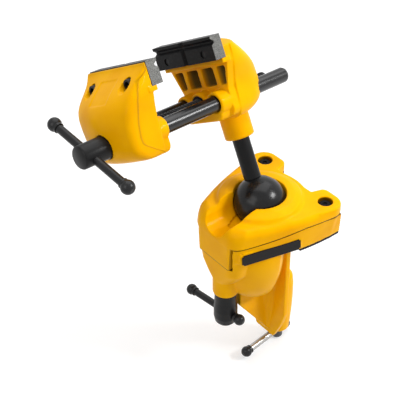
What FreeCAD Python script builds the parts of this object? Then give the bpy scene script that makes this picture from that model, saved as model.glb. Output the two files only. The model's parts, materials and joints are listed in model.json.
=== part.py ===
import FreeCAD, Part
import math
import os

from FreeCAD import Placement, Rotation, Vector

# A bench vise that clamps to the edge of a bench and carries its jaws on a lockable ball.
# Millimetres, +Z up. The origin is on the clamp screw's axis, in the plane where the pad
# meets the bench top. The base is drawn about the ball's centre, the head about the point
# where the main screw's axis meets the face of the fixed jaw plate.

# Ball joint and how the head stands on it
BALL_CENTRE = Vector(-26.5, 0, 31.5)
BALL_R = 22.2
BALL_GAP = 0.3
BALL_LEAN = -29.77
BALL_TILT = 1.52
HEAD_SPIN = 6.33

# Head: main directions are x along the main screw, y across the jaws, z up
STEM_X = 31.2
STEM_DROP = 94.07
STEM_R = 7.3
STEM_TOP = -9.5
RUNNING_GAP = 0.08
JAW_HALF = 37.5
PLATE_THICK = 10.3
PLATE_TOP = 52.9
PLATE_BOTTOM = 33.9
JAW_TOP = 49.0
JAW_TOP_AT_ENDS = 42.5
OPENING = 54.75
PLATE_SCREW_Y = 23.6
PLATE_SCREW_Z = 39.9
PLATE_SCREW_R = 3.0
SCREW_HEAD_R = 4.2
SCREW_HEAD_LONG = 6.0
ACCESS_R = 4.8
ROD_Y = 19.4
ROD_R = 6.46
ROD_END = 80.0
SCREW_R = 6.3
SCREW_END = 75.0
BOSS_FACE = -0.4
BOSS_ROW_CORNER = 7.0
NUT_R = 8.4
NUT_END = 22.0
STEM_GROOVE = (-31.0, -27.0)
FRAME_BACK = 17.5

# Moving jaw
MOVING_SEAT = -OPENING - PLATE_THICK
MOVING_BOSS_FACE = MOVING_SEAT + 9.8
MOVING_FRAME_FRONT = MOVING_SEAT - 6.0
ROD_ROOT = -86.0
PIN_R = 1.5
PIN_X = -77.0
# Side view of the shell's rear edge, as (x, z): the sides behind it are drawn in a little
SHELL_EDGE = ((-65.4, 54.0), (-67.5, 46.5), (-75.0, 41.5), (-79.0, 35.0), (-81.3, 28.0), (-82.6, 18.0),
              (-84.0, 10.0), (-84.8, 1.0), (-84.2, -3.6), (-82.4, -5.8), (-79.0, -8.2), (-73.0, -12.3),
              (-64.0, -17.4), (-60.0, -19.6))
SHELL_STEP = 0.9
LABEL = (-10.0, 13.0, 30.5, 45.0)
LABEL_DEEP = 0.6
HUB_R = 9.5
HUB_END = -122.0
HUB_SEAT = -92.0
HUB_POCKET_R = 9.9
COLLAR_R = 9.0
COLLAR_LONG = 4.0

# T-bars: bar radius, ball radius, distance between ball centres
MAIN_BAR = (3.5, 5.75, 87.3)
LOCK_BAR = (3.2, 5.0, 57.5)
CLAMP_BAR = (3.2, 5.0, 53.0)
MAIN_BAR_X = -112.6
MAIN_BAR_ANGLE = 37.5
MAIN_BAR_SHIFT = -1.35

# Base, about the ball centre: x towards the bench, y to the far side
SEAM_REAR = -5.0
SEAM_NOSE = -13.5
SEAM_BEND_X = 10.0
SEAM_GAP = 0.9
NOSE_X = -50.5
NOSE_FLAT = 17.2
CAP_FLAT = 3.8
CAP_TOP = 9.6
DISC_R = 41.0
RIM_R = 22.5
EAR_HOLE = (39.0, 38.0)
EAR_HOLE_R = 6.4
BOLT_R = 3.0
BOLT_HEAD_R = 5.2
BOLT_HEAD_BOTTOM = -1.6
BOLT_HEAD_HIGH = 2.6
BOLT_END = -22.0
BADGE_START = (-44.0, -30.0, -23.3)
BADGE_LONG = 52.6
BADGE_HIGH = 10.4
BADGE_TURN = -17.0
BADGE_RISE = 2.5
TONGUE_BOTTOM = -37.0
TROUGH_R = 12.9
TROUGH_BOTTOM = -10.8
LEDGE_BOTTOM = -28.7
BENCH_FACE = -31.5
PAD_FRONT = 8.5
PAD_NOTCH_HALF = 33.0
SPINE_FRONT = 10.5
SPINE_BACK = 15.5
SPINE_HALF = 25.0
WEB_HALF = 5.0

# Lock screw under the nose and clamp screw under the ledge
LOCK_X = -36.7
LOCK_BOSS_R = 11.5
LOCK_BOSS_BOTTOM = -80.0
LOCK_BAR_Z = -105.0
LOCK_SHANK_R = 4.0
LOCK_CLEARANCE_R = 11.3
LOCK_HUB_TOP = -82.3
LOCK_TOP = -18.0
LOCK_BAR_WAY = (0.136, -0.99, 0)
LOCK_BAR_SHIFT = -12.5
CLAMP_X = 26.5
CLAMP_SCREW_R = 5.4
CLAMP_BAR_Z = -166.7
CLAMP_BAR_WAY = (-0.994, -0.11, 0)
CLAMP_BAR_SHIFT = 15.1
FOOT_TOP = -34.0
FOOT_R = 9.6


def cylinder(radius, start, end):
    """A round bar between two points."""
    along = Vector(end) - Vector(start)
    return Part.makeCylinder(radius, along.Length, Vector(start), along)


def revolve(points, foot, axis):
    """A solid turned from (radius, height) points about an axis through foot."""
    profile = Part.makePolygon([Vector(r, 0, h) for r, h in points + points[:1]])
    solid = Part.Face(profile).revolve(Vector(0, 0, 0), Vector(0, 0, 1), 360)
    solid.Placement = Placement(Vector(foot), Rotation(Vector(0, 0, 1), Vector(axis)))
    return solid


def prism(points, along):
    """A flat polygon pushed along a vector."""
    corners = [Vector(p) for p in points]
    return Part.Face(Part.makePolygon(corners + corners[:1])).extrude(Vector(along))


def arc(a, b, c):
    """The round edge from a through b to c."""
    return Part.Arc(Vector(a), Vector(b), Vector(c)).toShape()


def line(a, b):
    return Part.LineSegment(Vector(a), Vector(b)).toShape()


def both_sides(shape):
    """The shape and its mirror image across the middle plane."""
    return [shape, shape.mirror(Vector(0, 0, 0), Vector(0, 1, 0))]


def across(point):
    return (point[0], -point[1], point[2])


def save(name, shape, placement):
    """Write one sub-part in its place in the assembly."""
    if not shape.isValid():
        print(name, "is not valid")
    placed = shape.copy()
    placed.Placement = placement.multiply(shape.Placement)
    placed.exportStep("parts/" + name + ".step")
    print(f"{name:22s} {len(shape.Solids):2d} solid, {shape.Volume / 1000:8.2f} cm3")


BASE = Placement(BALL_CENTRE, Rotation())
LEANED = Rotation(Vector(1, 0, 0), BALL_LEAN).multiply(Rotation(Vector(0, 1, 0), BALL_TILT))
TURNED = LEANED.multiply(Rotation(Vector(0, 0, 1), HEAD_SPIN))
HEAD = Placement(BALL_CENTRE, TURNED).multiply(
    Placement(Vector(-STEM_X, 0, STEM_DROP), Rotation())
)


# ---------------------------------------------------------------- base

def plan_outline(z, nose=0.0, side=0.0, rear=0.0, rear_x=39.0):
    """The boat-shaped plan of the base at one height, drawn in by the given amounts."""
    flat = (NOSE_X + nose, NOSE_FLAT - 0.2 * nose, z)
    corner = (-47.2 + 0.85 * nose, 25.0 - 0.55 * nose, z)
    cheek = (-42.0 + 0.55 * nose, 29.0 - 0.75 * side, z)
    middle = (-3.0, 43.6 - side, z)
    tail = (rear_x, 51.4 - rear, z)
    half = [arc(flat, corner, cheek), arc(cheek, middle, tail)]
    other = [arc(across(flat), across(corner), across(cheek)),
             arc(across(cheek), across(middle), across(tail))]
    ends = [line(flat, across(flat)), line(tail, across(tail))]
    return Part.Wire(Part.__sortEdges__(half + other + ends))


def ear_outline(z, shrink):
    """The plan of one bolt ear; it reaches well into the body it grows from."""
    side = 51.4 - shrink
    edges = [
        line((24, 30, z), (34.5, 18.8, z)),
        line((34.5, 18.8, z), (46.3, 22.6, z)),
        arc((46.3, 22.6, z), (50.2, 24.9, z), (51.6, 28.8, z)),
        line((51.6, 28.8, z), (51.6, side - 12.9, z)),
        arc((51.6, side - 12.9, z), (47.9, side - 3.6, z), (38.6, side, z)),
        line((38.6, side, z), (24, side - 2.8, z)),
        line((24, side - 2.8, z), (24, 30, z)),
    ]
    return Part.Wire(edges)


def seam_half_space(gap, above):
    """Everything above or below the bent parting plane of the base."""
    z = 60.0 if above else -200.0
    points = [(-80, -80, SEAM_NOSE - 4.3 - gap), (SEAM_BEND_X, -80, SEAM_REAR - gap),
              (80, -80, SEAM_REAR - gap), (80, -80, z), (-80, -80, z)]
    return prism(points, (0, 160, 0))


def tongue(grow):
    """The nose piece of the cap that hangs down over the lock screw."""
    top = 21.2 + grow
    low = 19.6 + grow
    bottom = TONGUE_BOTTOM - grow
    block = prism([(-60, -low, bottom), (-60, low, bottom), (-60, top, -8), (-60, -top, -8)],
                  (60 - 38.5 + grow, 0, 0))
    return block


def cap_trough():
    """The slot that the stem can lie down in, wider and lower towards the nose."""
    wires = []
    for x, turn, half_top, top in ((4, 2.1, 13.2, 12.5), (-30, 0.5, 16.5, 9.5), (-62, -1.0, 22.5, 7.0)):
        low = (x, 0, TROUGH_BOTTOM)
        left = (x, TROUGH_R, turn)
        wires.append(Part.Wire([
            arc(left, low, across(left)),
            line(across(left), (x, -half_top, top)),
            line((x, -half_top, top), (x, half_top, top)),
            line((x, half_top, top), left),
        ]))
    return Part.makeLoft(wires, True, True)


def socket_cap():
    levels = [(-16, 0, 0, 0), (-10, 0, 0, 0), (-5, 0.8, 0, 0), (-1, 2.6, 0.3, 0),
              (2, 5.6, 1.9, 0.8), (CAP_FLAT, 9.5, 5.0, 2.4)]
    crown = Part.makeLoft([plan_outline(z, n, s, r) for z, n, s, r in levels], True, False)
    ears = []
    slab = Part.Face(ear_outline(SEAM_REAR, 0)).extrude(Vector(0, 0, CAP_FLAT - SEAM_REAR))
    for ear in both_sides(slab):
        top = [e for e in ear.Edges if abs(e.BoundBox.ZMin - CAP_FLAT) < 0.01 and e.BoundBox.XMax > 36]
        ears.append(ear.makeFillet(2.0, top))
    disc = revolve([(0, -5), (37.4, -5), (37.4, CAP_FLAT), (36.2, CAP_FLAT + 0.8), (34.6, CAP_FLAT + 3.2),
                    (32.0, CAP_TOP - 1.4), (29.0, CAP_TOP - 0.3), (25.5, CAP_TOP), (0, CAP_TOP)],
                   (0, 0, 0), (0, 0, 1))
    rear = revolve([(0, -5), (DISC_R, -5), (DISC_R, CAP_FLAT - 0.8), (DISC_R - 0.8, CAP_FLAT), (0, CAP_FLAT)],
                   (0, 0, 0), (0, 0, 1))
    rear = rear.common(Part.makeBox(40, 60, 20, Vector(28, -30, -6)))
    cap = crown.fuse(ears + [disc, rear])
    cap = cap.common(seam_half_space(0, True))
    skirt = Part.Face(plan_outline(-40)).extrude(Vector(0, 0, 30)).common(tongue(0))
    cap = cap.fuse(skirt)
    cap = cap.cut(cap_trough())
    cap = cap.cut(Part.makeSphere(BALL_R + BALL_GAP))
    flare = revolve([(0, 5.4), (21.85, 5.4), (RIM_R, CAP_TOP + 0.01), (RIM_R, 20), (0, 20)],
                    (0, 0, 0), (0, 0, 1))
    cap = cap.cut(flare)
    for side in (1, -1):
        x, y = EAR_HOLE[0], side * EAR_HOLE[1]
        cap = cap.cut(cylinder(EAR_HOLE_R, (x, y, -1.6), (x, y, 20)))
        cap = cap.cut(cylinder(BOLT_R, (x, y, -20), (x, y, 5)))
    cap = cap.cut(cylinder(LOCK_SHANK_R + RUNNING_GAP, (LOCK_X, 0, -60), (LOCK_X, 0, LOCK_TOP + 1)))
    return cap.removeSplitter()


def cap_bolts():
    """Low-headed hexagon-socket bolts, seated below the surface of the ears."""
    bolts = []
    for side in (1, -1):
        x, y = EAR_HOLE[0], side * EAR_HOLE[1]
        head = cylinder(BOLT_HEAD_R, (x, y, BOLT_HEAD_BOTTOM), (x, y, BOLT_HEAD_BOTTOM + BOLT_HEAD_HIGH))
        head = head.makeChamfer(0.6, [e for e in head.Edges if e.BoundBox.ZMin > BOLT_HEAD_BOTTOM + 2])
        key = Part.makePolygon([Vector(x + 2.3 * math.cos(math.radians(60 * k)),
                                       y + 2.3 * math.sin(math.radians(60 * k)), 0) for k in range(7)])
        head = head.cut(Part.Face(key).extrude(Vector(0, 0, 5)))
        bolts.append(head.fuse(cylinder(BOLT_R, (x, y, BOLT_END), (x, y, BOLT_HEAD_BOTTOM))))
    return Part.makeCompound(bolts)


def bowl():
    """The rounded housing under the ball: round in front, drawn in towards the spine."""
    wires = []
    levels = ((-22, 37.4, 18.5), (-34, 37.2, 18.0), (-48, 36.0, 17.0), (-62, 32.8, 16.0),
              (-76, 27.6, 13.5), (-88, 19.5, 10.5), (-97, 10.5, 8.0), (-101.5, 3.5, 4.0))
    for z, radius, rear in levels:
        centre = -8.0 + max(0.0, -z - 76) * 0.18
        front = (centre - radius, 0, z)
        left = (centre, radius, z)
        back = (SPINE_BACK - 1, rear, z)
        turn = ((left[0] + back[0]) / 2, (left[1] + back[1]) / 2 + 0.04 * radius, z)
        wires.append(Part.Wire([
            arc(left, front, across(left)),
            arc(across(left), across(turn), across(back)),
            line(across(back), back),
            arc(back, turn, left),
        ]))
    return Part.makeLoft(wires, True, False)


def chin():
    """The nose under the tongue, which narrows down into the round lock-screw boss."""
    wires = []
    levels = ((-28, -49.4, 27.0, 11.8), (-38, -49.0, 26.0, 11.8), (-48, -48.7, 23.8, 11.7),
              (-57, -48.4, 17.4, 11.6), (-63, -48.2, 11.6, 11.5))
    for z, front, half, corner in levels:
        rear = LOCK_X + 10
        flat = half - corner
        mid = corner * math.sqrt(0.5)
        start = (front, flat, z)
        bend = (front + corner - mid, flat + mid, z)
        side = (front + corner, half, z)
        end = (rear, half, z)
        wires.append(Part.Wire([
            line(across(start), start), arc(start, bend, side), line(side, end), line(end, across(end)),
            line(across(end), across(side)), arc(across(side), across(bend), across(start)),
        ]))
    return Part.makeLoft(wires, True, True)


def web_roots():
    """The wide hollow curves that join the web to the spine, narrower towards the bottom."""
    wires = []
    for z, reach in ((-59, 22.0), (-76, 19.0), (-96, 16.0), (-116, 13.0), (-135, 10.0), (-150, 7.5)):
        radius = reach - WEB_HALF
        bend = radius * (1 - math.sqrt(0.5))
        root = (SPINE_FRONT + 0.5, reach, z)
        middle = (SPINE_FRONT - bend, WEB_HALF + bend, z)
        front = (SPINE_FRONT - radius, WEB_HALF - 0.1, z)
        wires.append(Part.Wire([arc(root, middle, front), line(front, across(front)),
                                arc(across(front), across(middle), across(root)), line(across(root), root)]))
    return Part.makeLoft(wires, True, True)


def base_body():
    upper = Part.makeLoft([plan_outline(-4, 0.5, 0.5, 0.5, 46.5),
                           plan_outline(LEDGE_BOTTOM, 1.6, 3.0, 5.2, 50.5)], True, True)
    upper = upper.common(seam_half_space(SEAM_GAP, False))
    ears = Part.makeLoft([ear_outline(SEAM_REAR, 0.3), ear_outline(LEDGE_BOTTOM, 5.0)], True, True)
    flank = [(SPINE_FRONT, SPINE_HALF, -25), (SPINE_FRONT, SPINE_HALF, -122), (SPINE_FRONT, 20.2, -138),
             (SPINE_FRONT, 11.5, -157)]
    spine = prism(flank + [across(p) for p in reversed(flank)], (SPINE_BACK - SPINE_FRONT, 0, 0))
    web = prism([(-24, -WEB_HALF, -60), (-24, -WEB_HALF, -103), (16, -WEB_HALF, -160),
                 (CLAMP_X, -WEB_HALF, -157), (CLAMP_X, -WEB_HALF, -97), (SPINE_BACK, -WEB_HALF, -93),
                 (SPINE_BACK, -WEB_HALF, -60)], (0, 2 * WEB_HALF, 0))
    arm = revolve([(0, -94), (9.5, -94), (12.2, -97), (13.2, -106), (13.2, -122), (12.8, -136),
                   (11.9, -150), (11.0, -160), (0, -160)], (CLAMP_X, 0, 0), (0, 0, 1))
    boss = cylinder(LOCK_BOSS_R, (LOCK_X, 0, LOCK_BOSS_BOTTOM), (LOCK_X, 0, -45))
    boss = boss.makeFillet(1.5, [e for e in boss.Edges if e.BoundBox.ZMax < LOCK_BOSS_BOTTOM + 0.1])
    body = upper.fuse(both_sides(ears) + [bowl(), chin(), spine, web, web_roots(), arm, boss, badge_pad()])
    recess = tongue(SEAM_GAP)
    body = body.cut([recess, Part.makeSphere(BALL_R + BALL_GAP), cap_trough()])
    body = body.cut(cylinder(LOCK_SHANK_R + 0.3, (LOCK_X, 0, -120), (LOCK_X, 0, LOCK_TOP + 1)))
    body = body.cut(cylinder(LOCK_CLEARANCE_R, (LOCK_X, 0, -120), (LOCK_X, 0, LOCK_BOSS_BOTTOM)))
    body = body.cut(cylinder(CLAMP_SCREW_R + RUNNING_GAP, (CLAMP_X, 0, -180), (CLAMP_X, 0, -60)))
    body = body.cut(badge())
    for side in (1, -1):
        x, y = EAR_HOLE[0], side * EAR_HOLE[1]
        body = body.cut(cylinder(BOLT_R, (x, y, BOLT_END), (x, y, 5)))
    return body.removeSplitter()


def badge_place():
    """Lies along the near wall of the base and climbs with the parting line."""
    turn = Rotation(Vector(0, 0, 1), BADGE_TURN).multiply(Rotation(Vector(0, 1, 0), -BADGE_RISE))
    return Placement(Vector(BADGE_START), turn)


def badge_shape(grow, depth, lift):
    """A long plate with stepped ends, drawn in its own plane: x along, z up, -y outwards."""
    step = 1.4
    half = BADGE_HIGH / 2 + grow
    end = BADGE_LONG + grow
    points = [(-grow, -half + step), (step, -half + step), (step, -half), (end - step, -half),
              (end - step, -half + step), (end, -half + step), (end, half - step),
              (end - step, half - step), (end - step, half), (step, half),
              (step, half - step), (-grow, half - step)]
    plate = prism([(x, 0, z) for x, z in points], (0, depth, 0))
    plate.translate(Vector(0, lift, 0))
    plate.Placement = badge_place().multiply(plate.Placement)
    return plate


def badge_pad():
    return badge_shape(1.4, 12.0, 1.2)


def badge():
    return badge_shape(0, 1.2, 0)


def bench_pad():
    """A soft sheet under the ledge and the ears, notched round the spine."""
    up = Vector(0, 0, LEDGE_BOTTOM - BENCH_FACE)
    sheet = Part.Face(plan_outline(BENCH_FACE, 1.6, 3.4, 5.6, 50.1)).extrude(up)
    sheet = sheet.fuse(both_sides(Part.Face(ear_outline(BENCH_FACE, 5.4)).extrude(up)))
    sheet = sheet.common(Part.makeBox(80, 120, 20, Vector(PAD_FRONT, -60, BENCH_FACE - 5)))
    notch = Part.makeBox(30, 2 * PAD_NOTCH_HALF, 20, Vector(SPINE_BACK + 0.5 - 30, -PAD_NOTCH_HALF, -40))
    return sheet.cut([notch, bowl()]).removeSplitter()


def t_bar(size, centre, direction, shift):
    """A sliding bar and its two necked end balls; shift moves them off centre along the bar."""
    bar_r, ball_r, apart = size
    along = Vector(direction).normalize()
    middle = Vector(centre) + along * shift
    tip = apart / 2 + ball_r * 0.75
    bar = cylinder(bar_r, middle - along * tip, middle + along * tip)
    balls = []
    for way in (1, -1):
        centre = middle + along * (way * apart / 2)
        outward = along * (way * ball_r)
        flat = cylinder(ball_r + 1, centre - outward * 2, centre + outward * 0.94)
        ball = Part.makeSphere(ball_r, centre).common(flat)
        neck = cylinder(bar_r + 0.9, centre - outward * 0.98, centre)
        balls.append(ball.fuse(neck).cut(bar).removeSplitter())
    return bar, Part.makeCompound(balls)


def bar_hole(size, centre, direction):
    """The cross bore a sliding bar runs in."""
    along = Vector(direction).normalize()
    return cylinder(size[0] + RUNNING_GAP, Vector(centre) - along * 50, Vector(centre) + along * 50)


def lock_washer():
    ring = cylinder(10.4, (LOCK_X, 0, LOCK_HUB_TOP + 0.15), (LOCK_X, 0, LOCK_HUB_TOP + 1.85))
    return ring.cut(cylinder(LOCK_SHANK_R + RUNNING_GAP, (LOCK_X, 0, -90), (LOCK_X, 0, -70)))


def lock_screw(bar):
    hub = revolve([(0, LOCK_HUB_TOP), (9.7, LOCK_HUB_TOP), (9.9, -90), (10.6, -100), (10.6, -108),
                   (9.6, -113.5), (7.4, -116.2), (0, -117)], (LOCK_X, 0, 0), (0, 0, 1))
    shank = cylinder(LOCK_SHANK_R, (LOCK_X, 0, LOCK_HUB_TOP), (LOCK_X, 0, LOCK_TOP))
    return hub.fuse(shank).cut(bar).removeSplitter()


def clamp_foot():
    """A round swivel pad with a socket for the screw's tip."""
    top = FOOT_TOP
    pad = revolve([(0, top), (FOOT_R - 0.8, top), (FOOT_R, top - 0.8), (FOOT_R, top - 2.6),
                   (7.4, top - 4.6), (6.6, top - 6.0), (0, top - 6.0)], (CLAMP_X, 0, 0), (0, 0, 1))
    return pad.cut(cylinder(4.0, (CLAMP_X, 0, top - 10), (CLAMP_X, 0, top - 2.4)))


def clamp_screw(bar):
    tip = cylinder(3.7, (CLAMP_X, 0, -50), (CLAMP_X, 0, FOOT_TOP - 2.7))
    shank = cylinder(CLAMP_SCREW_R, (CLAMP_X, 0, -172), (CLAMP_X, 0, FOOT_TOP - 6.4))
    end = revolve([(0, -171), (CLAMP_SCREW_R, -171), (CLAMP_SCREW_R, -172.4), (4.2, -174), (0, -174)],
                  (CLAMP_X, 0, 0), (0, 0, 1))
    return shank.fuse([tip, end]).cut(bar).removeSplitter()


# ---------------------------------------------------------------- ball and stem

def ball():
    return Part.makeSphere(BALL_R, Vector(STEM_X, 0, -STEM_DROP))


def stem():
    """A round post: cupped foot on the ball, a groove near its top for the set screw."""
    centre = Vector(STEM_X, 0, -STEM_DROP)
    low, high = STEM_GROOVE
    post = revolve([(0, -STEM_DROP + 15), (STEM_R, -STEM_DROP + 15), (STEM_R, low), (6.2, low + 0.5),
                    (6.2, high - 0.5), (STEM_R, high), (STEM_R, STEM_TOP - 1), (STEM_R - 1, STEM_TOP),
                    (0, STEM_TOP)], (STEM_X, 0, 0), (0, 0, 1))
    return post.cut(Part.makeSphere(BALL_R + BALL_GAP, centre))


def stem_set_screw():
    z = sum(STEM_GROOVE) / 2
    point = cylinder(1.5, (STEM_X + 6.3, 0, z), (STEM_X + 8, 0, z))
    return cylinder(2.5, (STEM_X + STEM_R + 0.2, 0, z), (STEM_X + 12.2, 0, z)).fuse(point).removeSplitter()


# ---------------------------------------------------------------- head

def dome_section(z, seat, depth, half, power, way):
    """One level of a rounded jaw back: a squared-off oval, flat where it meets the seat."""
    points = []
    steps = 12
    for k in range(steps + 1):
        angle = math.pi * k / steps - math.pi / 2
        c, s = math.cos(angle), math.sin(angle)
        x = seat + way * depth * abs(c) ** (2 / power)
        y = half * math.copysign(abs(s) ** (2 / power), s)
        points.append(Vector(x, y, z))
    points[0].x = seat
    points[-1].x = seat
    curve = Part.BSplineCurve()
    curve.interpolate(points)
    return Part.Wire([curve.toShape(), line(points[-1], points[0])])


def shell_section(z, seat, depth, half):
    """One level of the moving jaw: gently bowed in front, flat at the sides, round corners."""
    corner = min(8.0, 0.45 * depth)
    reach = half - 0.7 * corner
    bow = min(0.2 * reach, 0.15 * depth)
    slope = 2 * math.atan(bow / reach)
    front = seat - depth
    x = front + bow + corner * math.cos(slope)
    y = half - corner
    turn = math.pi / 4 - slope / 2
    root = (seat, half, z)
    side = (x, half, z)
    middle = (x - corner * math.sin(turn), y + corner * math.cos(turn), z)
    face = (x - corner * math.cos(slope), y + corner * math.sin(slope), z)
    return Part.Wire([line(root, side), arc(side, middle, face), arc(face, (front, 0, z), across(face)),
                      arc(across(face), across(middle), across(side)), line(across(side), across(root)),
                      line(across(root), root)])


def frame_outline(x, inset):
    """The seat side of a jaw: wide under the plate, narrow at the guide rods."""
    wide = JAW_HALF - inset
    narrow = 29.6 - inset
    corner = 7.0
    low = -14.5 + inset
    points = [(x, wide, JAW_TOP - 0.5), (x, wide, 30), (x, narrow, 9), (x, narrow, low + corner)]
    edges = [line(points[k], points[k + 1]) for k in range(3)]
    bend = corner * (1 - math.sqrt(0.5))
    edges.append(arc(points[3], (x, narrow - bend, low + bend), (x, narrow - corner, low)))
    mirrored = [line(across(points[k]), across(points[k + 1])) for k in range(3)]
    mirrored.append(arc(across(points[3]), (x, bend - narrow, low + bend), (x, corner - narrow, low)))
    closing = [line(points[0], across(points[0])), line((x, narrow - corner, low), (x, corner - narrow, low))]
    return Part.Wire(Part.__sortEdges__(edges + mirrored + closing))


def eased_front(solid, face):
    """The solid with the edges of its front face rounded."""
    front = [e for e in solid.Edges
             if abs(e.BoundBox.XMin - face) < 0.01 and abs(e.BoundBox.XMax - face) < 0.01]
    return solid.makeFillet(2.0, front)


def rod_boss_row(face, root, radius, low):
    """Two round bosses for the guide rods and the round-cornered bridge between them."""
    long = abs(root - face)
    start = min(root, face)
    bridge = Part.makeBox(long, 2 * ROD_Y, radius + 5.0, Vector(start, -ROD_Y, -radius))
    sill = Part.makeBox(long, 2 * (ROD_Y + 5), -low - 2, Vector(start, -ROD_Y - 5, low))
    sill = sill.makeFillet(BOSS_ROW_CORNER, [e for e in sill.Edges if e.BoundBox.ZMax < low + 0.1
                                             and e.BoundBox.XLength > long - 0.1])
    parts = [bridge, sill, cylinder(radius + 1, (face, 0, 0), (root, 0, 0))]
    parts += both_sides(cylinder(radius, (face, ROD_Y, 0), (root, ROD_Y, 0)))
    eased = [eased_front(p, face) for p in parts]
    return eased[0].fuse(eased[1:]).removeSplitter()


def pockets(seat, way):
    """Four blind core pockets between ribs, under the plate."""
    cuts = []
    depth = 13.0
    for inner, outer_low, outer_high in ((2.6, 16.8, 16.8), (21.6, 28.2, 32.4)):
        shape = prism([(seat - way, inner, 12.5), (seat - way, outer_low, 12.5),
                       (seat - way, outer_high, 27.5), (seat - way, inner, 27.5)],
                      (way * (depth + 1), 0, 0))
        shape = shape.makeFillet(1.6, [e for e in shape.Edges if e.BoundBox.XLength > depth])
        cuts += both_sides(shape)
    return cuts


def plate_screw_cuts(seat, way, bearing):
    """Clearance and access bores for the plate screws."""
    cuts = []
    for side in (1, -1):
        y = side * PLATE_SCREW_Y
        start = Vector(bearing, y, PLATE_SCREW_Z)
        cuts.append(cylinder(PLATE_SCREW_R, (seat - way, y, PLATE_SCREW_Z), start + Vector(way, 0, 0)))
        cuts.append(cylinder(ACCESS_R, start, start + Vector(way * 60, 0, 0)))
    return cuts


def fixed_jaw():
    seat = PLATE_THICK
    levels = [(-17.0, 14.0, 17.0, 2.4), (-14.3, 25.0, 25.5, 2.6), (-6.7, 34.6, 29.4, 3.0),
              (8.6, 37.4, 30.6, 3.0), (20, 36.0, 34.0, 2.6), (30, 29.8, 37.0, 2.3),
              (38, 22.0, 37.8, 2.1), (44, 13.8, 37.6, 2.0), (JAW_TOP, 6.4, 37.4, 2.0)]
    dome = Part.makeLoft([dome_section(z, FRAME_BACK, d, h, p, 1) for z, d, h, p in levels], True, False)
    frame = Part.Face(frame_outline(seat, 0.8)).extrude(Vector(FRAME_BACK + 1 - seat, 0, 0))
    ledge = Part.makeBox(8, 2 * JAW_HALF, PLATE_BOTTOM - 30, Vector(6, -JAW_HALF, 30))
    row = rod_boss_row(BOSS_FACE, 14, 9.6, -14.5)
    neck = cylinder(12.5, (STEM_X, 0, -37), (STEM_X, 0, 0))
    neck = neck.makeFillet(2.0, [e for e in neck.Edges if e.BoundBox.ZMax < -36.9])
    rise = JAW_TOP - JAW_TOP_AT_ENDS
    crown_r = (JAW_HALF ** 2 + rise ** 2) / (2 * rise)
    crown = cylinder(crown_r, (0, 0, JAW_TOP - crown_r), (80, 0, JAW_TOP - crown_r))
    jaw = dome.fuse(frame).common(crown).fuse([ledge, row, neck])
    jaw = jaw.cut(pockets(seat, 1) + plate_screw_cuts(seat, 1, FRAME_BACK))
    for side in (1, -1):
        jaw = jaw.cut(cylinder(ROD_R + RUNNING_GAP, (-20, side * ROD_Y, 0), (90, side * ROD_Y, 0)))
        mouth = Part.makeCone(7.7, ROD_R, 1.3, Vector(BOSS_FACE - 0.01, side * ROD_Y, 0), Vector(1, 0, 0))
        jaw = jaw.cut(mouth)
    jaw = jaw.cut(cylinder(NUT_R, (-20, 0, 0), (NUT_END, 0, 0)))
    jaw = jaw.cut(cylinder(SCREW_R + 0.5, (-20, 0, 0), (90, 0, 0)))
    jaw = jaw.cut(cylinder(STEM_R + RUNNING_GAP, (STEM_X, 0, -60), (STEM_X, 0, STEM_TOP + 0.5)))
    z = sum(STEM_GROOVE) / 2
    jaw = jaw.cut(cylinder(2.5, (STEM_X, 0, z), (STEM_X + 30, 0, z)))
    return jaw.removeSplitter()


def screw_nut():
    nut = cylinder(NUT_R, (BOSS_FACE + 0.6, 0, 0), (NUT_END, 0, 0))
    return nut.cut(cylinder(SCREW_R + RUNNING_GAP, (-20, 0, 0), (90, 0, 0)))


def jaw_plate(face, way):
    """A hardened plate with one long and one upright V groove for pipes and bars."""
    back = face + way * PLATE_THICK
    start = min(face, back)
    plate = Part.makeBox(PLATE_THICK, 2 * JAW_HALF, PLATE_TOP - PLATE_BOTTOM,
                         Vector(start, -JAW_HALF, PLATE_BOTTOM))
    deep = 2.8
    out = face - way * 0.5
    level = PLATE_TOP - 4.7
    spread = 2.9
    long_groove = prism([(out, -50, level + spread), (face + way * deep, -50, level + 0.6),
                         (face + way * deep, -50, level - 0.6), (out, -50, level - spread)], (0, 100, 0))
    upright = prism([(out, spread, 0), (face + way * deep, 0.6, 0), (face + way * deep, -0.6, 0),
                     (out, -spread, 0)], (0, 0, 80))
    plate = plate.cut([long_groove, upright])
    for side in (1, -1):
        y = side * PLATE_SCREW_Y
        middle = Vector(face, y, PLATE_SCREW_Z)
        plate = plate.cut(cylinder(PLATE_SCREW_R, middle - Vector(20, 0, 0), middle + Vector(20, 0, 0)))
    return plate


def plate_screws(face, bearing, way):
    """Socket-headed screws from behind the jaw into the plate."""
    screws = []
    for side in (1, -1):
        y = side * PLATE_SCREW_Y
        shank = cylinder(PLATE_SCREW_R, (face + way * 1.0, y, PLATE_SCREW_Z), (bearing, y, PLATE_SCREW_Z))
        head = cylinder(SCREW_HEAD_R, (bearing, y, PLATE_SCREW_Z),
                        (bearing + way * SCREW_HEAD_LONG, y, PLATE_SCREW_Z))
        key = [(bearing + way * 2.5, y + 2.9 * math.cos(math.radians(60 * k)),
                PLATE_SCREW_Z + 2.9 * math.sin(math.radians(60 * k))) for k in range(6)]
        screws.append(head.cut(prism(key, (way * 20, 0, 0))).fuse(shank).removeSplitter())
    return Part.makeCompound(screws)


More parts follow.
